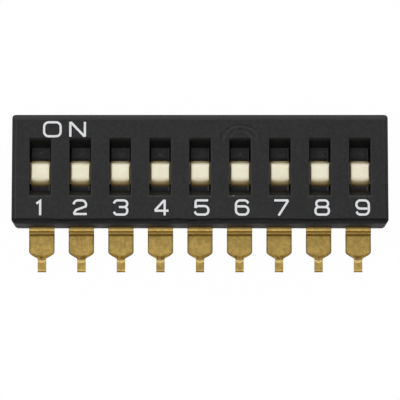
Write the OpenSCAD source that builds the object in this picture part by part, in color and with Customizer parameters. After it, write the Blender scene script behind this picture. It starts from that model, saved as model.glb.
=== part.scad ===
// Surface-mount DIP switch: a row of slide actuators in a black moulded housing.
// X runs along the row, +Y points to the ON side and +Z out of the face.
// The origin is the middle of the underside, on the plane that the leads solder to.

/* [Switch] */
// Number of switch positions
poles = 9; // [1:1:12]
// Distance from one position to the next
pitch = 2.54; // [2.5:0.01:5.08]
// Travel of an actuator from OFF to ON
travel = 0.7; // [0.5:0.01:0.8]

/* [Housing] */
// Width of the housing across the row
body_w = 7; // [5.8:0.1:12]
// Height of the housing from its seat to its face
body_h = 2.9; // [2.7:0.1:6]
// Plastic beyond the middle of the first and last position
end_pad = 1.81; // [1.76:0.01:4]
// Radius of the four upright corners
corner_r = 0.3; // [0.1:0.05:0.5]
// Radius of the long edges of the face
edge_r = 0.38; // [0.1:0.02:0.44]
// Radius of the short edges of the face
end_r = 0.26; // [0.1:0.02:0.44]
// Thickness of the cover's side walls
wall = 0.45; // [0.35:0.05:0.5]
// Clearance between the cover and the block that it snaps over
cover_fit = 0.04; // [0.02:0.01:0.08]
// Gap left between faces that seat on each other
seat = 0.02; // [0.01:0.005:0.03]
// Width of the latch at each end of the cover
latch_w = 1.6; // [1:0.1:3]
// Height of a latch
latch_h = 0.44; // [0.3:0.02:0.6]
// Reach of a latch into its pocket
latch_reach = 0.2; // [0.1:0.01:0.25]

/* [Window] */
// Width of a window
window_w = 1.36; // [1.2:0.02:1.5]
// Length of a window at the face
window_l = 3.64; // [3.4:0.02:4.2]
// Offset of the row of windows from the middle, towards ON
window_y = 0.08; // [0:0.02:0.2]
// Run of the slope at each end of a window
window_slope = 0.45; // [0.2:0.05:0.5]
// Chamfer round the rim of a window
window_rim = 0.05; // [0.02:0.01:0.1]
// Depth of a window's floor below the face
floor_depth = 1; // [0.8:0.05:1.2]
// Width of the rib that forms the floor between two grooves
rib_w = 1.16; // [1:0.02:1.2]

/* [Actuator] */
// Distance of an actuator at OFF from the middle of its window
off_shift = 0.28; // [0.2:0.01:0.35]
// Width of the knob at its foot
knob_w = 1.2; // [1:0.02:1.2]
// Length of the knob at its foot
knob_l = 1.62; // [1.4:0.02:1.7]
// Run of the slope at each end of the knob
knob_slope = 0.3; // [0.1:0.05:0.4]
// Draft of the knob's sides, per side
knob_draft = 0.02; // [0:0.01:0.1]
// Rounding between the knob's top and its sloped ends
knob_r = 0.36; // [0.1:0.02:0.5]
// Rounding of the knob's two long upper edges
knob_side_r = 0.05; // [0.02:0.01:0.1]
// Depth of the knob's top below the face
knob_depth = 0.3; // [0.1:0.05:0.4]
// Width over the wings that hold the actuator under the cover
wing_w = 1.9; // [1.7:0.05:2]
// Length of the wings
wing_l = 1.35; // [1.2:0.05:1.6]
// Thickness of the wings
wing_t = 0.28; // [0.2:0.02:0.36]
// Thickness of the two legs that run in the grooves
leg_t = 0.15; // [0.12:0.01:0.18]
// Length of the legs
leg_l = 1.3; // [1:0.05:1.5]
// Running clearance round the actuator
run_gap = 0.05; // [0.03:0.01:0.06]

/* [Contact] */
// Thickness of the bowed contact leaf
leaf_t = 0.05; // [0.04:0.01:0.07]
// Bow of the leaf between its middle and its contact points
leaf_rise = 0.09; // [0.06:0.01:0.1]
// Length of the leaf
leaf_l = 1.4; // [1.2:0.05:1.5]
// Distance between the leaf's two contact points
leaf_reach = 0.95; // [0.85:0.05:1.05]
// Room between the leaf and the foot of the legs
leaf_foot = 0.08; // [0.04:0.02:0.2]
// Room between the leaf and the wings above it
leaf_head = 0.34; // [0.24:0.02:0.4]
// Radius of the peg that the leaf hangs on
peg_r = 0.12; // [0.08:0.01:0.15]
// Clearance between the leaf and what it touches
leaf_gap = 0.02; // [0.01:0.005:0.03]

/* [Terminals] */
// Thickness of the terminal sheet
sheet_t = 0.2; // [0.15:0.01:0.25]
// Height at which the sheet leaves the housing
exit_z = 0.45; // [0.45:0.05:0.6]
// Plastic between the sheet and the grooves above it
sheet_cover = 0.2; // [0.15:0.01:0.25]
// Width of a front lead's blade
blade_w = 1.63; // [1:0.01:1.7]
// Width of a front lead's tip
tip_w = 0.54; // [0.3:0.02:0.8]
// Flat stretch where the front lead leaves the wall
exit_run = 0.26; // [0.1:0.01:0.4]
// Radius of the bends in a front lead, at mid-thickness
bend_r = 0.15; // [0.13:0.01:0.2]
// Angle of those bends
bend_angle = 45; // [40:5:60]
// Distance from the wall to the end of the wide blade
blade_run = 1.55; // [1.2:0.05:2.5]
// Length of the curved shoulders
shoulder_run = 0.43; // [0.2:0.01:0.6]
// Length of the shoulders that the bend at the neck takes in
neck_in = 0.06; // [0:0.01:0.15]
// Distance from the wall to the end of the tip
lead_run = 2.84; // [2.6:0.02:4]
// Height of the blade's underside above the seat
blade_z = 0.25; // [0.15:0.05:0.35]
// Width of the arm that carries a fixed contact inside the base
arm_w = 0.4; // [0.3:0.02:0.44]
// Width of a rear lead
rear_w = 1; // [0.6:0.05:1.6]
// Length of a rear lead's foot under the housing
foot_run = 0.95; // [0.6:0.05:1]
// Gap between the front and rear fixed contacts of one position
contact_gap = 0.35; // [0.3:0.01:0.4]

/* [Hidden] */
slack = 0.1; // how far a cutting tool runs past the face that it cuts
curve_steps = 8; // straight pieces in the drawn curves of a shoulder and a leaf
round_fn = 48;

body_l = (poles - 1) * pitch + 2 * end_pad;
floor_z = body_h - floor_depth;
flange_z = exit_z + sheet_t; // top of the base's flange, level with the sheet
groove_z = flange_z + sheet_cover;
floor_l = window_l - 2 * window_slope;
rim_reach = window_rim + slack; // how far a window's cutter spreads past its rim
block_l = body_l - 2 * (wall + cover_fit);
block_w = body_w - 2 * (wall + cover_fit);

knob_z = body_h - knob_depth;
slider_z = floor_z + seat;
wing_z = slider_z + wing_t;
off_y = window_y - off_shift; // middle of an actuator at OFF
wing_stop = wing_l / 2 + run_gap; // from an actuator's middle to the wall that stops its wings
channel_w = wing_w + 2 * run_gap;
leg_x = rib_w / 2 + run_gap; // inner face of a leg
leg_z = groove_z + run_gap;

leaf_x = leg_x + leg_t + leaf_gap; // inner face of the leaf at its middle
groove_x = leaf_x + leaf_t + leaf_rise + leaf_gap; // wall that the leaf slides on
leaf_h = slider_z - leaf_head - leg_z - leaf_foot;
leaf_z = leg_z + leaf_foot + leaf_h / 2; // middle of the leaf's height
fixed_z = leaf_z + leaf_h / 2 + leaf_gap; // top of the fixed contacts
fixed_x = groove_x + sheet_t;
gap_y = off_y + leaf_reach / 2 + contact_gap / 2 + leaf_gap; // middle of the gap between fixed contacts
front_y = [window_y - floor_l / 2, gap_y - contact_gap / 2]; // span of the front fixed contact
rear_y = [gap_y + contact_gap / 2, window_y + floor_l / 2]; // span of the rear fixed contact
sheet_mid = exit_z + sheet_t / 2;
fold_r = exit_z / 2; // middle of the sheet round the rear lead's fold
arm_x = blade_w / 2 - 2 * arm_w; // side of the arm that lies towards the middle of the position

latch_z = (flange_z + floor_z) / 2;

// Middle of a position along the row
function pole_x(i) = (i - (poles + 1) / 2) * pitch;

// Direction of the leg that leaves corner k of a path
function leg(path, k) = (path[k + 1] - path[k]) / norm(path[k + 1] - path[k]);

// Angle that a path turns through at its corner k, to the left when positive
function turn(path, k) =
    k == 0 || k == len(path) - 1 ? 0 :
    let (a = leg(path, k - 1), b = leg(path, k))
    atan2(a[0] * b[1] - a[1] * b[0], a * b);

// Length of a leg that the bend of radius r at corner k takes up
function bend_reach(path, k, r) = r * tan(abs(turn(path, k)) / 2);

// Corners of a step down towards -Y
function step_down(from, drop) = [from, from - [drop / tan(bend_angle), drop]];

// Outline of an opening in the face, l long at its floor, with ends that slope out and a chamfered rim
function funnel(l, slope) =
    let (x = l / 2 + slope * (1 - window_rim / floor_depth))
    [
        [-l / 2, floor_z], [l / 2, floor_z],
        [x, body_h - window_rim], [x + rim_reach, body_h + slack],
        [-x - rim_reach, body_h + slack], [-x, body_h - window_rim]
    ];

// Rectangle with all corners rounded
module round_rect(l, w, r) {
    square([l - 2 * r, w], center = true);
    square([l, w - 2 * r], center = true);
    for (x = [-1, 1], y = [-1, 1])
        translate([x * (l / 2 - r), y * (w / 2 - r)]) circle(r, $fn = round_fn);
}

// End view of a block with a rounded top and sides that lean in by taper
module round_top(w, bottom, top, r, taper = 0) {
    lean = atan(taper / (top - bottom));
    x = w / 2 - (r + (top - r - bottom) * sin(lean)) / cos(lean);
    touch = [x + r * cos(lean), top - r + r * sin(lean)]; // where the side runs into the rounding
    polygon([
        [-w / 2, bottom], [w / 2, bottom], touch,
        [x, top], [-x, top], [-touch[0], touch[1]]
    ]);
    for (side = [-1, 1])
        translate([side * x, top - r]) circle(r, $fn = round_fn);
}

// Side view of one bend in a sheet, from the direction start and through sweep
module bend(centre, r, start, sweep) {
    far = 2 * (r + sheet_t);
    translate(centre) rotate(start) intersection() {
        difference() {
            circle(r + sheet_t / 2, $fn = round_fn);
            circle(r - sheet_t / 2, $fn = round_fn);
        }
        polygon([[0, 0], [far, 0], far * [cos(sweep / 2), sin(sweep / 2)], far * [cos(sweep), sin(sweep)]]);
    }
}

// Side view of a sheet along a path, with every corner of the path bent to radius r
module sheet(path, r) {
    for (k = [0:len(path) - 2]) {
        along = leg(path, k);
        out = [-along[1], along[0]] * sheet_t / 2;
        a = path[k] + along * bend_reach(path, k, r);
        b = path[k + 1] - along * bend_reach(path, k + 1, r);
        if (norm(b - a) > 0.001)
            polygon([a + out, b + out, b - out, a - out]);
    }
    for (k = [1:len(path) - 2]) {
        along = leg(path, k - 1);
        side = sign(turn(path, k));
        out = [-along[1], along[0]] * side;
        bend(path[k] - along * bend_reach(path, k, r) + out * r, r, atan2(-out[1], -out[0]), turn(path, k));
    }
}

// Box from one corner to the opposite one
module block(low, high) {
    translate(low) cube(high - low);
}

// Prism along X from a shape drawn in Y and Z
module along_x(l) {
    translate([-l / 2, 0, 0]) rotate([90, 0, 90]) linear_extrude(l) children();
}

// Prism along Y from a shape drawn in X and Z
module along_y(w) {
    translate([0, w / 2, 0]) rotate([90, 0, 0]) linear_extrude(w) children();
}

// Outside of the housing between two heights, with rounded upright corners
module footprint(bottom, top) {
    translate([0, 0, bottom]) linear_extrude(top - bottom) round_rect(body_l, body_w, corner_r);
}

module at_pole(i) {
    translate([pole_x(i), 0, 0]) children();
}

// Window of one position, with sloped ends
module window_cut() {
    translate([0, window_y, 0]) intersection() {
        along_x(window_w + 2 * rim_reach) polygon(funnel(floor_l, window_slope));
        along_y(window_l + 2 * rim_reach) polygon(funnel(window_w, 0));
    }
}

// Room under the cover's plate for the wings, which stop at its ends
module channel_cut() {
    block([-channel_w / 2, off_y - wing_stop, floor_z - slack],
          [channel_w / 2, off_y + travel + wing_stop, wing_z + run_gap]);
}

// Wedge on each end of the base's block, or with grow its pocket in the cover
module latches(grow) {
    for (turn = [0, 180]) rotate([0, 0, turn])
        translate([block_l / 2, 0, latch_z])
            along_y(latch_w + 2 * grow) polygon([
                [-slack, -latch_h / 2 - grow],
                [latch_reach + grow, -latch_h / 2 - grow],
                [latch_reach + grow, 0],
                [-slack, latch_h / 2 + slack + grow]
            ]);
}

module cover() {
    color("#2b2b2d")
    difference() {
        intersection() {
            footprint(flange_z + seat, body_h);
            along_x(body_l) round_top(body_w, 0, body_h, edge_r);
            along_y(body_w) round_top(body_l, 0, body_h, end_r);
        }
        block([wall - body_l / 2, wall - body_w / 2, 0],
              [body_l / 2 - wall, body_w / 2 - wall, floor_z + seat]);
        latches(cover_fit);
        for (i = [1:poles]) at_pole(i) {
            window_cut();
            channel_cut();
        }
    }
}

// Two grooves beside the floor rib, the wider one with room for the contact leaf
module groove_cuts() {
    translate([0, window_y, 0]) {
        block([rib_w / 2, -floor_l / 2, groove_z],
              [groove_x, floor_l / 2, floor_z + slack]);
        block([-leg_x - leg_t - run_gap, -floor_l / 2, groove_z],
              [-rib_w / 2, floor_l / 2, floor_z + slack]);
    }
}

module base() {
    color("#242426")
    difference() {
        union() {
            footprint(0, flange_z);
            block([-block_l / 2, -block_w / 2, 0], [block_l / 2, block_w / 2, floor_z]);
            latches(0);
        }
        for (i = [1:poles]) at_pole(i) {
            groove_cuts();
            front_pocket();
            rear_pocket();
        }
    }
}

// Knob with sloped ends, drafted sides and rounded upper edges
module knob() {
    intersection() {
        along_x(knob_w) round_top(knob_l, slider_z, knob_z, knob_r, knob_slope);
        along_y(knob_l) round_top(knob_w, slider_z, knob_z, knob_side_r, knob_draft);
    }
}

module slider(i) {
    color("#e8e2cb")
    translate([pole_x(i), off_y, 0]) {
        knob();
        block([-wing_w / 2, -wing_l / 2, slider_z], [wing_w / 2, wing_l / 2, wing_z]);
        for (x = [leg_x, -leg_x - leg_t])
            block([x, -leg_l / 2, leg_z], [x + leg_t, leg_l / 2, wing_z]);
        translate([leg_x + leg_t / 2, 0, leaf_z])
            rotate([0, 90, 0])
                cylinder(r = peg_r, h = leg_t / 2 + 2 * leaf_gap + leaf_t + peg_r / 2, $fn = round_fn);
    }
}

// Bowed leaf with two contact points, seen from above
function leaf_outline() =
    let (
        ys = [for (k = [-2 * curve_steps:2 * curve_steps]) leaf_l / 2 * k / (2 * curve_steps)],
        bow = function (y) leaf_x + leaf_rise * (1 - cos(360 * y / leaf_reach)) / 2
    )
    concat(
        [for (y = ys) [bow(y), y]],
        [for (k = [len(ys) - 1:-1:0]) [bow(ys[k]) + leaf_t, ys[k]]]
    );

module contact(i) {
    color("#b9a27a")
    translate([pole_x(i), off_y, leaf_z])
    difference() {
        translate([0, 0, -leaf_h / 2]) linear_extrude(leaf_h) polygon(leaf_outline());
        rotate([0, 90, 0])
            cylinder(r = peg_r + leaf_gap, h = leaf_x + leaf_t + leaf_rise, $fn = round_fn);
    }
}

// Half width of a front lead at a distance u (0 to 1) along its shoulders
function shoulder(u) = tip_w / 2 + (blade_w - tip_w) / 2 * cos(90 * u);

// Plan of a front terminal, grown by g inside the housing
function front_plan(g) =
    let (y = -body_w / 2, s = y - blade_run)
    concat(
        [[blade_w / 2 + g, s]],
        [[blade_w / 2 + g, front_y[0] - arm_w - g], [fixed_x + g, front_y[0] - arm_w - g]],
        [[fixed_x + g, front_y[1] + g], [arm_x - g, front_y[1] + g]],
        [[arm_x - g, front_y[0] + g], [-blade_w / 2 - g, front_y[0] + g]],
        [for (k = [0:curve_steps]) [-shoulder(k / curve_steps) - g, s - shoulder_run * k / curve_steps]],
        [[-tip_w / 2 - g, y - lead_run], [tip_w / 2 + g, y - lead_run]],
        [for (k = [curve_steps:-1:1]) [shoulder(k / curve_steps) + g, s - shoulder_run * k / curve_steps]]
    );

// Plan of a rear terminal, grown by g inside the housing
function rear_plan(g) =
    let (y = body_w / 2 + fold_r + sheet_t / 2 + slack)
    [
        [rear_w / 2 + g, y], [-rear_w / 2 - g, y],
        [-rear_w / 2 - g, rear_y[1] - arm_w - g], [arm_x - g, rear_y[1] - arm_w - g],
        [arm_x - g, rear_y[0] - g], [fixed_x + g, rear_y[0] - g],
        [fixed_x + g, rear_y[1] + arm_w + g], [rear_w / 2 + g, rear_y[1] + arm_w + g]
    ];

// Corners of the front lead in side view, from inside the housing out to its tip
function front_path() =
    let (y = -body_w / 2, neck = y - blade_run - shoulder_run + neck_in, blade_mid = blade_z + sheet_t / 2)
    concat(
        [[front_y[1] + slack, sheet_mid]],
        step_down([y - exit_run, sheet_mid], sheet_mid - blade_mid),
        step_down([neck, blade_mid], blade_z),
        [[y - lead_run, sheet_t / 2]]
    );

// Corners of the rear lead in side view, folded round the edge of the base
function rear_path() =
    let (y = body_w / 2 + fold_r)
    [[rear_y[0] - slack, sheet_mid], [y, sheet_mid], [y, sheet_t / 2], [body_w / 2 - foot_run, sheet_t / 2]];

// Upright blades that the contact leaf slides on
module fixed_contact(span, g) {
    block([groove_x - (g > 0 ? slack : 0), span[0] - g, exit_z - g],
          [fixed_x + g, span[1] + g, fixed_z + g]);
}

module front_terminal(i) {
    color("#c3a76a")
    at_pole(i) {
        intersection() {
            along_x(pitch) sheet(front_path(), bend_r);
            linear_extrude(body_h) polygon(front_plan(0));
        }
        fixed_contact(front_y, 0);
    }
}

module rear_terminal(i) {
    color("#c3a76a")
    at_pole(i) {
        intersection() {
            along_x(pitch) sheet(rear_path(), fold_r);
            linear_extrude(body_h) polygon(rear_plan(0));
        }
        fixed_contact(rear_y, 0);
    }
}

// Hollow that the base leaves round a front terminal
module front_pocket() {
    translate([0, 0, exit_z - seat]) linear_extrude(sheet_t + 2 * seat) polygon(front_plan(seat));
    fixed_contact(front_y, seat);
}

// Hollow that the base leaves round a rear terminal and its foot
module rear_pocket() {
    translate([0, 0, exit_z - seat]) linear_extrude(sheet_t + 2 * seat) polygon(rear_plan(seat));
    fixed_contact(rear_y, seat);
    block([-rear_w / 2 - seat, body_w / 2 - foot_run - seat, -slack],
          [rear_w / 2 + seat, body_w / 2 + slack, sheet_t + seat]);
}

cover();
base();
for (i = [1:poles]) {
    slider(i);
    contact(i);
    front_terminal(i);
    rear_terminal(i);
}
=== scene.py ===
# Surface-mount DIP switch: finishes, printed marks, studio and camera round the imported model.
from math import cos, pi, radians, sin

import bpy
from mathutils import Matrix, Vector


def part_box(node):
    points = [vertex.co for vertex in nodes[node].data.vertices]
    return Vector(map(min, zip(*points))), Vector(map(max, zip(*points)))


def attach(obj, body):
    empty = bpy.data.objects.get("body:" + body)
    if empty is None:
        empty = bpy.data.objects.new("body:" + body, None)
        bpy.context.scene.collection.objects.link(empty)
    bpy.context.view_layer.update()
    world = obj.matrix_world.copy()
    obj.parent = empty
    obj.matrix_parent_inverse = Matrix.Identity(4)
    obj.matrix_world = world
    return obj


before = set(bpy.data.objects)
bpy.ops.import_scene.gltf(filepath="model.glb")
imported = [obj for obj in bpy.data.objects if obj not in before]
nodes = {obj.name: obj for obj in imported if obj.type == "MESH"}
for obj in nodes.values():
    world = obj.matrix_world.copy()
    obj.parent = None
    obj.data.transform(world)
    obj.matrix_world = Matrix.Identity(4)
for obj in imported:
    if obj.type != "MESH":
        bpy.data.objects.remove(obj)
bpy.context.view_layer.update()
mm = 0.001
positions = sum(name.startswith("slider_") for name in nodes)
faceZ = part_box("cover")[1].z
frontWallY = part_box("base")[0].y
firstLow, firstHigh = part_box("slider_1")
lastLow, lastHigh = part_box(f"slider_{positions}")
firstX = (firstLow.x + firstHigh.x) / 2
pitch = ((lastLow.x + lastHigh.x) / 2 - firstX) / max(1, positions - 1)
knobMiddle = (firstLow.y + firstHigh.y) / 2
print("frame loaded:", len(nodes), "nodes,", positions, "positions")


class Wire:  # a shader value that can be used in ordinary sums
    def __init__(self, tree, socket):
        self.tree = tree
        self.socket = socket

    def math(self, operation, first, second=None):
        node = self.tree.nodes.new("ShaderNodeMath")
        node.operation = operation
        for slot, value in zip(node.inputs, (first, second)):
            if isinstance(value, Wire):
                self.tree.links.new(value.socket, slot)
            elif value is not None:
                slot.default_value = value
        return Wire(self.tree, node.outputs[0])

    def __add__(self, other):
        return self.math("ADD", self, other)

    def __radd__(self, other):
        return self.math("ADD", other, self)

    def __sub__(self, other):
        return self.math("SUBTRACT", self, other)

    def __rsub__(self, other):
        return self.math("SUBTRACT", other, self)

    def __mul__(self, other):
        return self.math("MULTIPLY", self, other)

    def __rmul__(self, other):
        return self.math("MULTIPLY", other, self)

    def __pow__(self, other):
        return self.math("POWER", self, other)

    def __abs__(self):
        return self.math("ABSOLUTE", self)


class Shading:  # a node tree of a material or of the world
    def __init__(self, tree):
        self.tree = tree

    # every node comes from here: its type, its settings, then the values or links of its sockets
    def add(self, kind, settings=None, inputs=None, out=0):
        node = self.tree.nodes.new("ShaderNode" + kind)
        for name, value in (settings or {}).items():
            setattr(node, name, value)
        for name, value in (inputs or {}).items():
            if isinstance(value, Wire):
                self.tree.links.new(value.socket, node.inputs[name])
            else:
                node.inputs[name].default_value = value
        return Wire(self.tree, node.outputs[out])

    def output(self, name, shader):
        self.tree.links.new(shader.socket, self.tree.nodes[name].inputs["Surface"])

    # 0 to 1, or toLow to toHigh, as a value goes from low to high
    def span(self, value, low, high, toLow=0, toHigh=1, how="SMOOTHSTEP"):
        ends = {"From Min": low, "From Max": high, "To Min": toLow, "To Max": toHigh}
        return self.add("MapRange", {"interpolation_type": how}, {"Value": value, **ends})

    # 1 along a line, given the distance from its middle and how far out it ends and starts to fade
    def line(self, distance, outer, inner):
        return self.span(abs(distance), outer, inner)

    def blendColor(self, factor, first, second):
        pick = [color if isinstance(color, Wire) else (*color, 1) for color in (first, second)]
        return self.add("Mix", {"data_type": "RGBA"}, {0: factor, 6: pick[0], 7: pick[1]}, out=2)

    # 1 for what looks straight at the surface, in a mirror or through glass
    def straightLook(self):
        outputs = self.add("LightPath").socket.node.outputs
        rays = ("Is Camera Ray", "Is Glossy Ray", "Is Transmission Ray")
        eye, mirror, glass = (Wire(self.tree, outputs[ray]) for ray in rays)
        return eye.math("MAXIMUM", eye.math("MAXIMUM", eye, mirror), glass)


class Finish(Shading):  # a surface finish whose patterns are measured in millimetres on the object
    def __init__(self, name, **constants):
        self.material = bpy.data.materials.new(name)
        self.material.use_nodes = True
        super().__init__(self.material.node_tree)
        self.shader = self.tree.nodes["Principled BSDF"]
        self.set(**constants)
        place = self.add("TexCoord", out="Object")
        self.place = self.add("VectorMath", {"operation": "SCALE"}, {0: place, "Scale": 1 / mm})
        split = self.add("SeparateXYZ", inputs={0: self.place}).socket.node
        self.x, self.y, self.z = (Wire(self.tree, socket) for socket in split.outputs)

    def set(self, **values):
        for name, value in values.items():
            slot = self.shader.inputs[name.replace("_", " ")]
            if isinstance(value, Wire):
                self.tree.links.new(value.socket, slot)
            else:
                slot.default_value = value

    def noise(self, scale, detail=2, rough=0.5, stretch=None):
        at = self.place
        if stretch:
            at = self.add("Mapping", {}, {"Vector": self.place, "Scale": stretch})
        look = {"Vector": at, "Scale": scale, "Detail": detail, "Roughness": rough}
        return self.add("TexNoise", {}, look)

    # distance along the row from the middle of the nearest position
    def fromPole(self):
        wrapped = {0: self.x - firstX / mm, 1: pitch / mm / 2, 2: -pitch / mm / 2}
        return self.add("Math", {"operation": "WRAP"}, wrapped)

    # the first colours of a surface, mixed by a mask
    def paint(self, mask, first, second):
        self.color = self.blendColor(mask, first, second)

    # one more colour over them, as strong as its mask
    def coat(self, mask, color):
        self.color = self.blendColor(mask, self.color, color)

    def complete(self, rough, height, distance):
        bump = self.add("Bump", {}, {"Height": height, "Distance": distance, "Strength": 1.0})
        self.set(Base_Color=self.color, Roughness=rough, Normal=bump)
        return self.material


def reach(alongX, alongY):  # distance over the face
    return (alongX ** 2 + alongY ** 2) ** 0.5


blackPlastic = {
    "color": (0.0155, 0.0156, 0.0158),
    "worn": (0.0235, 0.0235, 0.0237),
    # dust and rub marks, and also the colour of painted highlights
    "dustAndHighlight": (0.22, 0.22, 0.21),
    "dark": (0.001, 0.001, 0.001),
    "highlightAndPaleRing": (0.036, 0.036, 0.0365),  # painted highlights on edges and rims, and the pale rings of the moulding gate
    "litSlope": (0.029, 0.0277, 0.0222),  # painted light, warmed by a painted reflection of the knobs, on the slopes at the OFF ends of the windows
    "leadReflection": (0.026, 0.014, 0.001),  # painted reflection of the gold leads in the wall above them
    "leadReflectionTop": 1.5,  # mm above the solder plane
    "leadReflectionWide": (1, 0.6),  # mm to each side of a lead's middle
    "leadReflectionStrength": 0.6,
    "rough": 0.5,
    "wallRough": 0.68,  # the front and back walls are left as eroded
    "wallFrom": 3.4,  # mm from the middle
    "specular": 0.14,
    "mottlePerMm": 0.9,
    "cloudPerMm": 4.2,
    "grainPerMm": 11,
    "grainDepth": 0.016 * mm,
    "specksPerMm": 1.3,
    "speckSize": 0.05,
    "speckStrength": 0.3,
}

coverMarks = {  # places and widths in mm
    "faceDepth": (0.1, 0.04),  # marks on the face fade out below it
    "edgeShade": (3.25, 0.095),  # painted shade along the front and back edges of the face: from the middle, half width
    "edgeShadeStrength": (0.95, 0.3),  # along the front and along the back
    "edgeShadeWaver": 0.2,
    "waverPerMm": 0.8,
    "endLine": 11.71,  # painted highlight lines along the two ends of the face, from the middle
    "endLineWidth": (0.055, 0.015),
    "endLineTo": (3.25, 3.2),  # their length, from the middle
    "endLineStrength": (0.95, 0.2),  # at the left and at the right
    "backBand": 3.1,  # painted highlight along the back edge begins here
    "backBandStrength": 0.55,
    "windowHalf": (0.68, 1.82),
    "windowY": 0.08,
    "rimOut": (0.035, 0.045),  # how far outside a window its right and end rims lie
    "rimWidth": (0.06, 0.03),
    "leftRimWidth": (0.065, 0.05),
    "rightRim": (-1, -1.15, 0.7, 1),  # it grows from 0.7 to 1 towards the OFF end, between these
    "paleRim": 0.11,  # strength of the painted highlight along the OFF end
    "darkRim": 0.6,  # strength of the painted shade along the ON end
    "windowsTo": (3.3, 3.2),  # what is deeper than the face counts as a window up to here
    "windowDepth": (0.06, 0.25),
    "onShade": (-0.2, 0.5),  # painted shade on a window's sides, growing towards its ON end, between these
    "offSlope": -1.1,  # the slope at the OFF end begins here
    "upperFrom": (0.03, 0.1),  # depths between which the OFF slope's upper part begins
    "upperTo": (0.7, 0.3),  # and ends
    "slopeShade": (0.6, 0.3),  # ON end, upper part of the OFF slope
    "litSlopeStrength": 0.6,
    "gate": (2.58, 1.84),  # middle of the rings that the moulding gate left
    "gateSquash": 0.76,  # they are drawn out along the row
    "gateRing": 0.52,  # radius of a pale ring
    "gateStep": 0.31,  # from one ring to the next
    "gateWarp": 0.3,
    "warpPerMm": 1.6,
    "gateInner": (0.15, 0.5),  # radii between which they fade in
    "gateOuter": (1.15, 0.95),  # and out
    "gateBack": (-0.3, 0.2),  # only their back half shows: from the gate, where they fade in
    "gapsPerMm": 2.4,  # patches where they are weak
    "gateStrength": (0.5, 0.46),  # pale and dark rings
    "gateHeight": 0.1,
    "dustGrain": (2.13, -1.74, 0.07),  # one that has stuck: place and radius
}


# draws them and returns the relief of the gate's rings
def markCover(f, cloud):
    p = coverMarks
    black = blackPlastic
    depth = faceZ / mm - f.z
    onFace = f.span(depth, *p["faceDepth"])
    inWindow = f.span(abs(f.y), *p["windowsTo"]) * f.span(depth, *p["windowDepth"])
    offEnd = f.span(f.y, p["offSlope"], p["offSlope"] - 0.1)
    onHalf = f.span(f.y, -0.1, 0.1)
    offHalf = f.span(f.y, 0.1, -0.1)

    # painted shade along the face's front and back edges, and on a window's sides towards its ON
    # end
    waver = (f.noise(p["waverPerMm"], 3) - 0.5) * p["edgeShadeWaver"]
    edgeShade = f.line(abs(f.y) - p["edgeShade"][0] + waver, p["edgeShade"][1], 0.02)
    edgeShade = edgeShade * f.span(f.y, -0.1, 0.1, *p["edgeShadeStrength"])
    f.coat(inWindow * f.span(f.y, *p["onShade"]) * p["slopeShade"][0] + edgeShade, black["dark"])

    # painted highlights along the face's ends, its back edge and the sides of the windows
    ends = f.line(abs(f.x) - p["endLine"], *p["endLineWidth"]) * f.span(abs(f.y), *p["endLineTo"])
    ends = ends * f.span(f.x, -0.1, 0.1, *p["endLineStrength"])
    band = f.span(f.y, p["backBand"], p["backBand"] + 0.06) * p["backBandStrength"]
    halfX, halfY = p["windowHalf"]
    outX, outY = p["rimOut"]
    across = f.fromPole()
    along = abs(f.y - p["windowY"])
    right = f.line(across - halfX - outX, *p["rimWidth"]) * f.span(f.y, *p["rightRim"])
    left = f.line(across + halfX, *p["leftRimWidth"])
    sides = (left + right) * f.span(along, halfY + 0.05, halfY)
    f.coat((ends + band + sides) * onFace, black["highlightAndPaleRing"])

    # painted highlight along a window's OFF end; painted shade along its ON end and on the upper
    # part of its OFF slope
    rims = f.line(along - halfY - outY, *p["rimWidth"])
    rims = rims * f.span(abs(across), halfX + 0.07, halfX + 0.01)
    patchy = f.span(cloud, 0.35, 0.6, 0.5, 1)
    f.coat(rims * offHalf * patchy * onFace * p["paleRim"], black["dustAndHighlight"])
    f.coat(rims * onHalf * onFace * p["darkRim"], black["dark"])
    upper = offEnd * f.span(depth, *p["upperFrom"]) * f.span(depth, *p["upperTo"])
    f.coat(upper * p["slopeShade"][1], black["dark"])

    gateX, gateY = p["gate"]
    radius = reach((f.x - gateX) * p["gateSquash"], f.y - gateY)
    warp = (f.noise(p["warpPerMm"], 2) - 0.5) * p["gateWarp"]
    turn = (radius + warp - p["gateRing"]) * (2 * pi / p["gateStep"])
    rings = turn.math("COSINE", turn) * f.span(radius, *p["gateInner"])
    backFrom, backTo = p["gateBack"]
    rings = rings * f.span(radius, *p["gateOuter"]) * f.span(f.y, gateY + backFrom, gateY + backTo)
    rings = rings * f.span(f.noise(p["gapsPerMm"], 2), 0.36, 0.56, 0.25, 1)
    f.coat(f.span(rings, 0, 1) * onFace * p["gateStrength"][0], black["highlightAndPaleRing"])
    f.coat(f.span(rings, 0, -1) * onFace * p["gateStrength"][1], black["dark"])

    grainX, grainY, grainRadius = p["dustGrain"]
    stuck = f.span(reach(f.x - grainX, f.y - grainY), grainRadius, 0.02)
    f.coat(stuck * onFace, black["dustAndHighlight"])
    # painted light, warmed by a painted reflection of the knob, on the slopes at the OFF ends
    f.coat(inWindow * offEnd * p["litSlopeStrength"], black["litSlope"])
    return rings * p["gateHeight"]


floorMarks = {  # the ribs of the base that show in the windows, in mm
    "ridges": (0.8, 7, 1),  # per mm along each axis
    "ridgeStrength": 0.3,
    "shadeFrom": (0.5, 0.6),  # under the ON end of the knob
    "shadeTo": (0.9, 0.7),
    "shadeStrength": 0.7,
    "edge": (0.49, 0.54),  # painted highlight along the right edge, from the middle of a floor
    "edgeStrength": 0.7,
    "glint": (0.45, 0.52),  # beside it near the OFF end
    "glintFrom": (-1, -1.1),
    "glintStrength": 0.3,
    "paleLine": (-1.1, 0.035),  # across a floor near its OFF end: place and strength
    "darkLine": (-1.2, 0.5),
    "scuff": (0.1, 1.04, 0.32),  # rub mark of an actuator: off its middle, along, radius
    "scuffStrength": 0.16,
}


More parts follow.
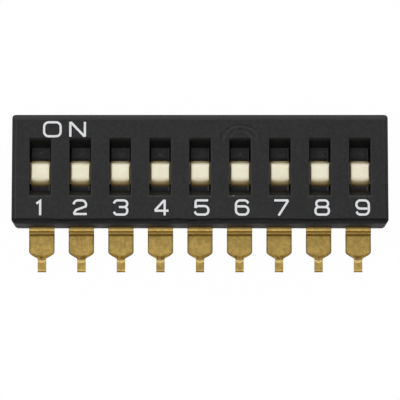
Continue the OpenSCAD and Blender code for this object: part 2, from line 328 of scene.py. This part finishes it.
def markFloors(f):
    p = floorMarks
    black = blackPlastic
    side = f.fromPole()
    ridges = f.span(f.noise(1, 2, 0.6, stretch=p["ridges"]), 0.42, 0.6)
    shade = f.span(f.y, *p["shadeFrom"]) * f.span(f.y, *p["shadeTo"])
    f.coat(ridges * p["ridgeStrength"] + shade * p["shadeStrength"], black["dark"])
    # painted highlights along a floor's right edge and beside it near the OFF end
    f.coat(f.span(side, *p["edge"]) * p["edgeStrength"], black["highlightAndPaleRing"])
    glint = f.span(side, *p["glint"]) * f.span(f.y, *p["glintFrom"])
    f.coat(glint * p["glintStrength"], black["dustAndHighlight"])
    f.coat(f.line(f.y - p["paleLine"][0], 0.05, 0.02) * p["paleLine"][1], black["dustAndHighlight"])
    f.coat(f.line(f.y - p["darkLine"][0], 0.06, 0.02) * p["darkLine"][1], black["dark"])
    scuffX, scuffY, scuffRadius = p["scuff"]
    rub = f.span(reach(side - scuffX, f.y - scuffY), scuffRadius, 0.05)
    rub = rub * f.span(f.noise(5, 3, 0.7), 0.5, 0.68)
    f.coat(rub * p["scuffStrength"], black["dustAndHighlight"])


def blackFinish(name, onCover=False):
    p = blackPlastic
    f = Finish(name, Specular_IOR_Level=p["specular"])
    mottle = f.noise(p["mottlePerMm"], 4, 0.6)
    cloud = f.noise(p["cloudPerMm"], 3, 0.6)
    grain = f.noise(p["grainPerMm"], 3, 0.6)
    cells = {"Vector": f.place, "Scale": p["specksPerMm"]}
    fromSpeck = f.add("TexVoronoi", {}, cells, out="Distance")
    speck = f.span(fromSpeck, p["speckSize"], 0.02)
    tone = f.span(mottle * 0.4 + cloud * 0.35 + grain * 0.25, 0.4, 0.6)
    f.paint(tone, p["color"], p["worn"])
    f.coat(speck * p["speckStrength"], p["dustAndHighlight"])
    # painted reflection of the gold leads in the wall above them
    leadReflectionMask = f.span(frontWallY / mm - f.y, -0.1, -0.02) * f.span(abs(f.fromPole()), *p["leadReflectionWide"])
    leadReflectionMask = leadReflectionMask * f.span(f.z + f.noise(2.5, 2) * 0.4, p["leadReflectionTop"], p["leadReflectionTop"] - 0.7)
    f.coat(leadReflectionMask * p["leadReflectionStrength"], p["leadReflection"])
    height = grain + cloud * 0.8 + speck * 0.5
    if onCover:
        height = height + markCover(f, cloud)
    else:
        markFloors(f)
    rougher = p["wallRough"] - p["rough"]
    wall = f.span(abs(f.y), p["wallFrom"], p["wallFrom"] + 0.1, 0, rougher)
    rough = f.span(mottle, 0.3, 0.7, p["rough"] - 0.05, p["rough"] + 0.08) + wall
    return f.complete(rough, height, p["grainDepth"])


ivoryPlastic = {
    "top": (0.83, 0.785, 0.61),
    "cloud": (0.79, 0.735, 0.54),
    "offEndLight": (0.9, 0.835, 0.6),  # painted light on the OFF end of the top
    "shade": (0.5, 0.455, 0.33),  # ON end of the top, where it falls off
    # painted shade, warmer and darker with depth below the face
    "warmShade": (0.68, 0.55, 0.28),
    "deepShade": (0.2, 0.125, 0.035),
    "lean": 0.2,  # the OFF end takes its colour from deeper down, the ON end from higher up
    "warmShadeFrom": 0.43,  # mm below the face of the housing, where the painted shade begins
    "warmShadeTo": 0.65,
    "deepShadeTo": 1.06,
    "endFrom": 0.52,  # mm from the middle of the knob
    "offEndLightFrom": (-0.3, -0.5),  # mm from the middle
    "flank": (0.15, 0.6),  # mm from the middle, across
    "flankStrength": 0.5,
    "edge": (0.47, 0.575),  # mm from the middle, strips of painted shade down the sides
    "edgeStrength": 0.75,
    "rough": (0.42, 0.54),
    "bleed": 0.1,
    "bleedDepth": 0.25 * mm,
    "cloudPerMm": 1.7,
    "grainPerMm": 11,
    "grainDepth": 0.003 * mm,
}


def ivoryFinish(name):
    p = ivoryPlastic
    f = Finish(name, Subsurface_Weight=p["bleed"], Subsurface_Scale=p["bleedDepth"])
    grain = f.noise(p["grainPerMm"], 3, 0.6)
    cloud = f.noise(p["cloudPerMm"], 3)
    along = f.y - knobMiddle / mm
    across = f.fromPole()
    depth = faceZ / mm - f.z - along * p["lean"]
    flank = f.span(abs(across), *p["flank"])
    low = f.span(depth, p["warmShadeFrom"] - 0.08, p["warmShadeTo"] - 0.1)
    end = f.span(along, p["endFrom"], p["endFrom"] + 0.18)
    end = end * (flank * 0.3 + f.span(across, -0.1, -0.5) * 0.3 + 0.38)
    left = f.span(-1 * across, *p["edge"])
    right = f.span(across, *p["edge"]) * low
    f.paint(f.span(cloud, 0.4, 0.7), p["top"], p["cloud"])
    # painted light on the OFF end of the top
    f.coat(f.span(along, *p["offEndLightFrom"]), p["offEndLight"])
    f.coat(end, p["shade"])
    # painted shade, warmer and darker with depth
    f.coat(f.span(depth, p["warmShadeFrom"], p["warmShadeTo"]), p["warmShade"])
    f.coat(f.span(depth, p["warmShadeTo"], p["deepShadeTo"]), p["deepShade"])
    # painted shade on the lower flanks and in strips down the sides
    f.coat(flank * low * p["flankStrength"], p["deepShade"])
    f.coat((left + right) * p["edgeStrength"], p["deepShade"])
    return f.complete(f.span(grain, 0.3, 0.7, *p["rough"]), grain, p["grainDepth"])


goldPlating = {
    "bright": (0.41, 0.286, 0.089),
    "dull": (0.32, 0.218, 0.062),
    "stain": (0.23, 0.145, 0.038),
    "rim": (0.158, 0.115, 0.037),  # darker along the sides of a lead
    "rimWidth": 0.15,  # mm
    "rimStrength": 0.9,
    # brown and amber are painted shade in the bends; the next three are painted highlights
    "brown": (0.145, 0.076, 0.0085),
    "amber": (0.216, 0.112, 0.009),
    "shine": (0.97, 0.72, 0.27),  # painted highlight on the bends
    "glow": (1, 0.66, 0.19),
    "drawn": (0.48, 0.31, 0.072),
    "rough": 0.5,
}

springLeaf = {
    "bright": (0.72, 0.55, 0.3),
    "dull": (0.56, 0.41, 0.19),
    "stain": (0.36, 0.25, 0.1),
    "rough": 0.35,
}

frontLead = {  # mm, places along it are distances from the housing's wall
    "bladeHalf": 0.815,
    "tipHalf": 0.27,
    "shoulders": (1.55, 1.98),
    # painted highlights and shade across it at the bends: start, end, strength, tint, how matt,
    # bow at the sides
    "across": (
        (-0.1, 0.06, 0.5, "brown", 0, 0),
        (0.1, 0.24, 0.65, "shine", 0, 0),
        (0.23, 0.325, 1, "amber", 0, 0),
        (0.35, 0.43, 0.8, "glow", 0.2, 0),
        (0.465, 0.57, 0.9, "brown", 0, 0),
        (1.84, 2.0, 0.5, "brown", 0, 0.3),
        (1.99, 2.09, 0.9, "drawn", 0.85, 0.2),
        (2.105, 2.24, 1, "shine", 1, 0.15),
        (2.27, 2.66, 0.55, "dull", 0, 0),
        (2.7, 2.77, 0.25, "shine", 0, 0),
        (2.79, 2.95, 1, "brown", 0, 0),
    ),
    "bandFade": 0.04,
    "evenTo": 0.6,  # the bend at the wall is drawn smooth
    "creases": (1.76, 2.07),  # painted shade in short creases at the neck
    "creasesTo": (0.46, 0.3),  # their reach from the lead's middle line
    "creaseGrain": (7, 1.6, 1),  # per mm along each axis
    "creaseStrength": 0.8,
}

rearLead = {"half": 0.5}  # mm


# 1 along the sides of a lead, given half its width
def leadRim(f, half):
    gold = goldPlating
    return f.span(half - abs(f.fromPole()), gold["rimWidth"], 0.01) * gold["rimStrength"]


def markRearLead(f, height):
    f.coat(leadRim(f, rearLead["half"]), goldPlating["rim"])
    return height


def markFrontLead(f, height):
    p = frontLead
    out = frontWallY / mm - f.y
    side = abs(f.fromPole())
    neckFrom, neckTo = p["shoulders"]
    turn = f.span(out, neckFrom, neckTo, 0, pi / 2, "LINEAR")
    half = turn.math("COSINE", turn) * (p["bladeHalf"] - p["tipHalf"]) + p["tipHalf"]
    f.coat(leadRim(f, half) * f.span(out, neckTo, neckTo - 0.1), goldPlating["rim"])
    metal = 1
    fade = p["bandFade"]
    # painted highlights and shade across the lead at its bends
    for start, end, strength, tint, matt, bow in p["across"]:
        at = out + side * bow
        band = f.span(at, start - fade, start + fade) * f.span(at, end + fade, end - fade)
        f.coat(band * strength, goldPlating[tint])
        if matt:
            metal = metal - band * matt
    # painted shade in the creases at the neck
    creaseFrom, creaseTo = p["creases"]
    crease = f.span(out, creaseFrom, creaseFrom + 0.13) * f.span(out, creaseTo, creaseTo - 0.07)
    crease = crease * f.span(side, *p["creasesTo"])
    crease = crease * f.span(f.noise(1, 2, 0.6, stretch=p["creaseGrain"]), 0.42, 0.54)
    f.coat(crease * p["creaseStrength"], goldPlating["brown"])
    f.set(Metallic=metal)
    return height * f.span(out, 0.1, p["evenTo"])


metalGrain = {
    "streaks": (14, 1.2, 4),  # per mm along each axis, as the sheet was rolled
    "mottlePerMm": 3.2,
    "patchesPerMm": 1.3,
    "grainPerMm": 8,
    "stainStrength": 0.3,
    "depth": 0.002 * mm,
}


def metalFinish(name, metal, marking=None):
    p = metalGrain
    f = Finish(name, Metallic=1.0)
    streaks = f.noise(1, 3, 0.6, stretch=p["streaks"])
    mottle = f.noise(p["mottlePerMm"], 3, 0.55)
    patches = f.noise(p["patchesPerMm"], 3, 0.6)
    grain = f.noise(p["grainPerMm"], 2, 0.6)
    tone = f.span(streaks * 0.3 + mottle * 0.35 + grain * 0.35, 0.36, 0.64)
    f.paint(tone, metal["dull"], metal["bright"])
    f.coat(f.span(patches, 0.52, 0.75) * p["stainStrength"], metal["stain"])
    height = streaks * 0.4 + mottle * 0.3 + grain * 0.3
    if marking:
        height = marking(f, height)
    rough = f.span(mottle, 0.35, 0.65, metal["rough"] - 0.05, metal["rough"] + 0.1)
    return f.complete(rough, height, p["depth"])


whiteInk = {
    "color": (0.68, 0.69, 0.71),
    "thin": (0.5, 0.51, 0.53),
    "rough": 0.55,
    "patchesPerMm": 9,
    "patchDepth": 0.003 * mm,
}


def inkFinish(name):
    p = whiteInk
    f = Finish(name)
    patchy = f.noise(p["patchesPerMm"], 3, 0.6)
    f.paint(f.span(patchy, 0.55, 0.75) * 0.6, p["color"], p["thin"])
    rough = f.span(patchy, 0.3, 0.7, p["rough"] - 0.1, p["rough"] + 0.1)
    return f.complete(rough, patchy, p["patchDepth"])


finishOf = {
    "cover": blackFinish("moulded_black_cover", onCover=True),
    "base": blackFinish("moulded_black_base"),
    "slider": ivoryFinish("ivory_knob"),
    "contact": metalFinish("spring_leaf", springLeaf),
    "front_terminal": metalFinish("gold_front_lead", goldPlating, markFrontLead),
    "rear_terminal": metalFinish("gold_rear_lead", goldPlating, markRearLead),
}
for nodeName, node in nodes.items():
    kind = nodeName.rstrip("0123456789").rstrip("_")
    node.data.materials.clear()
    node.data.materials.append(finishOf[kind])
print("finishes on all nodes")


marks = {
    "ink": 0.012 * mm,  # how far it stands above the face
    "sunk": 0.004 * mm,  # and how far it reaches into it
    "layerStep": 0.0004 * mm,  # strokes that cross differ by this in height
    "cornerSteps": 5,
    "weld": 0.002 * mm,  # points closer than this are one
    "hair": 0.001 * mm,  # shorter than this is no length at all
    "endRound": 0.15,  # of a stroke's width
    "squareDot": 0.3,  # sides that meet at a square end have normals further apart
    "digitStroke": 0.142 * mm,
    "digitSize": (0.82 * mm, 0.905 * mm),  # middle line of the strokes
    "digitY": -2.498 * mm,
    "digitPitch": 2.557 * mm,
    "digitShift": 0.072 * mm,  # the row of numbers stands off the middle
    "wordY": 2.515 * mm,
    "oStroke": 0.14 * mm,
    "oSize": (1.05 * mm, 0.9 * mm),
    "oX": -9.392 * mm,
    "nStroke": 0.145 * mm,
    "nSize": (0.925 * mm, 0.96 * mm),
    "nX": -7.788 * mm,
}


# points round a corner from one direction to another, about a centre
def corner(centreX, centreY, radius, fromDeg, toDeg):
    steps = marks["cornerSteps"]
    angles = [radians(fromDeg + (toDeg - fromDeg) * k / steps) for k in range(steps + 1)]
    return [(centreX + radius * cos(a), centreY + radius * sin(a)) for a in angles]


# a mark is a list of strokes, and a stroke is the points of its middle line
def drawOne(w, h):
    return [[(0.23 * w, 0.77 * h), (0.53 * w, 0.96 * h), (0.53 * w, -0.05 * h)]]


def drawTwo(w, h):
    r = 0.3 * h
    foot = 0.04 * h
    bow = [(0, 0.72 * h)] + corner(r, h - r, r, 165, 90) + corner(0.96 * w - r, h - r, r, 90, -25)
    neck = corner(0.41 * w, 0, 0.42 * w, 90, 150)[1:4]
    return [bow + neck + [(0, foot)], [(0, foot), (1.02 * w, foot)]]


def drawThree(w, h):
    r = 0.24 * h
    waist = 0.53 * h
    right = 1.03 * w
    upper = [(0, 0.78 * h)] + corner(r, h - r, r, 165, 90) + corner(right - r, h - r, r, 90, -60)
    lower = [(0.38 * w, waist), (0.94 * w - r, waist)] + corner(right - r, waist - r, r, 90, 0)
    lower += corner(right - r, r, r, 0, -90) + corner(r, r, r, -90, -165) + [(0, 0.2 * h)]
    return [upper + [(0.8 * w, waist)], lower]


def drawFour(w, h):
    bar = 0.27 * h
    upright = [(0.8 * w, -0.06 * h), (0.8 * w, 1.05 * h)]
    slope = [(0.77 * w, 1.02 * h), (0.05 * w, 0.3 * h)]
    return [upright, slope, [(0.02 * w, bar), (1.1 * w, bar)]]


def drawFive(w, h):
    r = 0.27 * h
    right = 1.06 * w
    bowl = [(0.05 * w, 0.5 * h)] + corner(0.3 * w, 0.36 * h, 0.24 * h, 120, 90)
    bowl += corner(right - r, 0.6 * h - r, r, 90, 0) + corner(right - r, r, r, 0, -90)
    bowl += corner(r, r, r, -90, -165) + [(0, 0.21 * h)]
    return [[(1.04 * w, h), (0.09 * w, h)], [(0.09 * w, h), (0.05 * w, 0.47 * h)], bowl]


def drawSix(w, h):
    r = 0.28 * h
    tall = 0.3 * h
    left = 0.07 * w
    right = 1.03 * w
    stem = [(right, 0.8 * h)] + corner(right - r, h - r, r, 20, 90)
    stem += corner(left + tall, h - tall, tall, 90, 180)
    bowl = corner(left + tall, tall, tall, 180, 270) + corner(right - r, r, r, -90, 0)
    bowl += corner(right - r, 0.58 * h - r, r, 0, 90) + [(left + 0.1 * w, 0.58 * h)]
    return [stem + bowl]


def drawSeven(w, h):
    return [[(-0.08 * w, h), (w, h)], [(w, h), (0.88 * w, 0.82 * h), (0.25 * w, -0.07 * h)]]


def ring(left, bottom, right, top, r):
    points = corner(right - r, top - r, r, 90, 0) + corner(right - r, bottom + r, r, 0, -90)
    points += corner(left + r, bottom + r, r, -90, -180) + corner(left + r, top - r, r, 180, 90)
    return points + points[:1]


def drawEight(w, h):
    waist = 0.53 * h
    upper = ring(0.05 * w, waist, 0.96 * w, h, 0.23 * h)
    return [upper, ring(-0.02 * w, 0, 1.02 * w, waist, 0.23 * h)]


def drawNine(w, h):
    return [[(1.06 * w - x, h - y) for x, y in stroke] for stroke in drawSix(w, h)]


def drawO(w, h):
    return [ring(0, 0, w, h, 0.32 * h)]


def drawN(w, h):
    return [[(0, 0), (0, h)], [(0.02 * w, 0.98 * h), (0.98 * w, 0.02 * h)], [(w, 0), (w, h)]]


digitDrawings = [
    drawOne, drawTwo, drawThree, drawFour, drawFive,
    drawSix, drawSeven, drawEight, drawNine,
]


# only the upright edges at a stroke's ends are rounded
def roundEnds(piece, width):
    weights = piece.data.attributes.new("bevel_weight_edge", "FLOAT", "EDGE")
    for edge in piece.data.edges:
        a, b = (piece.data.vertices[v].co for v in edge.vertices)
        upright = (a.xy - b.xy).length < marks["hair"]
        sides = [face for face in piece.data.polygons if set(edge.vertices) <= set(face.vertices)]
        square = len(sides) == 2 and sides[0].normal.dot(sides[1].normal) < marks["squareDot"]
        weights.data[edge.index].value = 1.0 if upright and square else 0.0
    soft = piece.modifiers.new("soft", "BEVEL")
    soft.limit_method = "WEIGHT"
    soft.width = marks["endRound"] * width
    soft.segments = 2
    bpy.ops.object.modifier_apply(modifier="soft")


# one stroke: a point drawn along its line in edit mode, raised, and widened to the pen
def inkStroke(points, width, x, y, z):
    bpy.ops.object.select_all(action="DESELECT")
    bpy.ops.mesh.primitive_plane_add(size=width)
    piece = bpy.context.object
    bpy.ops.object.mode_set(mode="EDIT")
    bpy.ops.mesh.merge(type="CENTER")
    bpy.ops.transform.translate(value=(x + points[0][0], y + points[0][1], z))
    for (ax, ay), (bx, by) in zip(points, points[1:]):
        step = (bx - ax, by - ay, 0)
        if Vector(step).length > marks["hair"]:
            bpy.ops.mesh.extrude_region_move(TRANSFORM_OT_translate={"value": step})
    bpy.ops.mesh.select_all(action="SELECT")
    bpy.ops.mesh.remove_doubles(threshold=marks["weld"])
    lift = (0, 0, marks["ink"] + marks["sunk"])
    bpy.ops.mesh.extrude_region_move(TRANSFORM_OT_translate={"value": lift})
    bpy.ops.object.mode_set(mode="OBJECT")
    wide = piece.modifiers.new("wide", "SOLIDIFY")
    wide.thickness = width
    wide.offset = 0
    wide.use_even_offset = True
    bpy.ops.object.modifier_apply(modifier="wide")
    if points[0] != points[-1]:
        roundEnds(piece, width)
    return piece


def printMark(name, drawing, size, stroke, centre, ink):
    w, h = size
    strokes = []
    for layer, points in enumerate(drawing(w, h)):
        z = faceZ - marks["sunk"] + layer * marks["layerStep"]
        strokes.append(inkStroke(points, stroke, centre[0] - w / 2, centre[1] - h / 2, z))
    bpy.ops.object.select_all(action="DESELECT")
    for part in strokes:
        part.select_set(True)
    bpy.context.view_layer.objects.active = strokes[0]
    if len(strokes) > 1:
        bpy.ops.object.join()
    piece = bpy.context.object
    bpy.ops.object.transform_apply(location=True, rotation=True, scale=True)
    piece.name = f"print_{name}"
    piece.data.materials.clear()
    piece.data.materials.append(ink)
    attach(piece, "housing")


inkMaterial = inkFinish("white_ink")
for number, drawing in enumerate(digitDrawings[:positions], 1):
    middle = marks["digitShift"] + (number - (positions + 1) / 2) * marks["digitPitch"]
    place = (middle, marks["digitY"])
    printMark(str(number), drawing, marks["digitSize"], marks["digitStroke"], place, inkMaterial)
for letter, drawing in (("o", drawO), ("n", drawN)):
    place = (marks[letter + "X"], marks["wordY"])
    size = marks[letter + "Size"]
    printMark(letter.upper(), drawing, size, marks[letter + "Stroke"], place, inkMaterial)
print("printed marks done")


studio = {  # metres and watts
    "floorSize": 0.6,
    "floorDrop": 0.0002,  # below the plane that the leads are soldered to
    "floorColor": (0.8, 0.8, 0.8, 1),
    "shadow": 0.02,  # share of the floor's own shading that shows in its white
    "sky": (0.2, 1.15),  # brightness of the room, from the front leads' side to the ON side
    "skyTurn": (-0.7, 0.9),  # where it changes, from -1 in front to 1 behind
    "skyRim": 2.0,  # added low down on the ON side
    "rimTurn": (0.6, 1),
    "keyPower": 0.185,
    "keySize": 0.2,
    "keyPlace": (-0.03, -0.035, 0.165),
}


def makeFloor():
    bpy.ops.object.select_all(action="DESELECT")
    place = (0, 0, -studio["floorDrop"])
    bpy.ops.mesh.primitive_plane_add(size=studio["floorSize"], location=place)
    floor = bpy.context.object
    floor.name = "studio_floor"
    material = bpy.data.materials.new("pale_floor")
    material.use_nodes = True
    s = Shading(material.node_tree)
    matt = s.add("BsdfDiffuse", {}, {"Color": studio["floorColor"]})
    white = s.add("Emission", {}, {"Strength": 1.0})
    share = s.straightLook() * (1 - studio["shadow"])
    s.output("Material Output", s.add("MixShader", {}, {0: share, 1: matt, 2: white}))
    floor.data.materials.append(material)


def makeSky():
    world = bpy.data.worlds.new("studio_sky")
    bpy.context.scene.world = world
    world.use_nodes = True
    s = Shading(world.node_tree)
    way = s.add("TexCoord", out="Generated")
    split = s.add("SeparateXYZ", inputs={0: way}).socket.node
    back = Wire(s.tree, split.outputs[1])
    glow = s.span(back, *studio["skyTurn"], *studio["sky"])
    glow = glow + s.span(back, *studio["rimTurn"], 0, studio["skyRim"])
    room = s.add("Background", {}, {"Strength": glow})
    white = s.add("Background", {}, {"Color": (1, 1, 1, 1)})
    straight = s.add("LightPath", out="Is Camera Ray")
    s.output("World Output", s.add("MixShader", {}, {0: straight, 1: room, 2: white}))


def softBox(name, power, size, place):
    bpy.ops.object.light_add(type="AREA", location=place)
    lamp = bpy.context.object
    lamp.name = name
    lamp.data.energy = power
    lamp.data.size = size
    lamp.rotation_mode = "QUATERNION"
    lamp.rotation_quaternion = (-Vector(place)).to_track_quat("-Z", "Y")


makeFloor()
makeSky()
softBox("key_light", studio["keyPower"], studio["keySize"], studio["keyPlace"])
print("studio lit")


camera = {
    "tilt": 7.2,  # degrees off the face's normal, towards the front leads
    "distance": 165 * mm,
    "widthOfView": 25.3646 * mm,  # at the face
    "aimY": -2.02 * mm,  # what it looks at, on the face
    "clip": (0.01, 2),  # metres
}


def placeCamera():
    tilt = radians(camera["tilt"])
    data = bpy.data.cameras.new("camera")
    eye = bpy.data.objects.new("camera", data)
    bpy.context.scene.collection.objects.link(eye)
    back = Vector((0, -sin(tilt), cos(tilt)))
    eye.location = Vector((0, camera["aimY"], faceZ)) + back * camera["distance"]
    eye.rotation_euler = (tilt, 0, 0)
    data.lens = data.sensor_width * camera["distance"] / camera["widthOfView"]
    data.clip_start, data.clip_end = camera["clip"]
    bpy.context.scene.camera = eye


placeCamera()
bpy.context.scene.view_settings.view_transform = "Standard"
print("camera set")
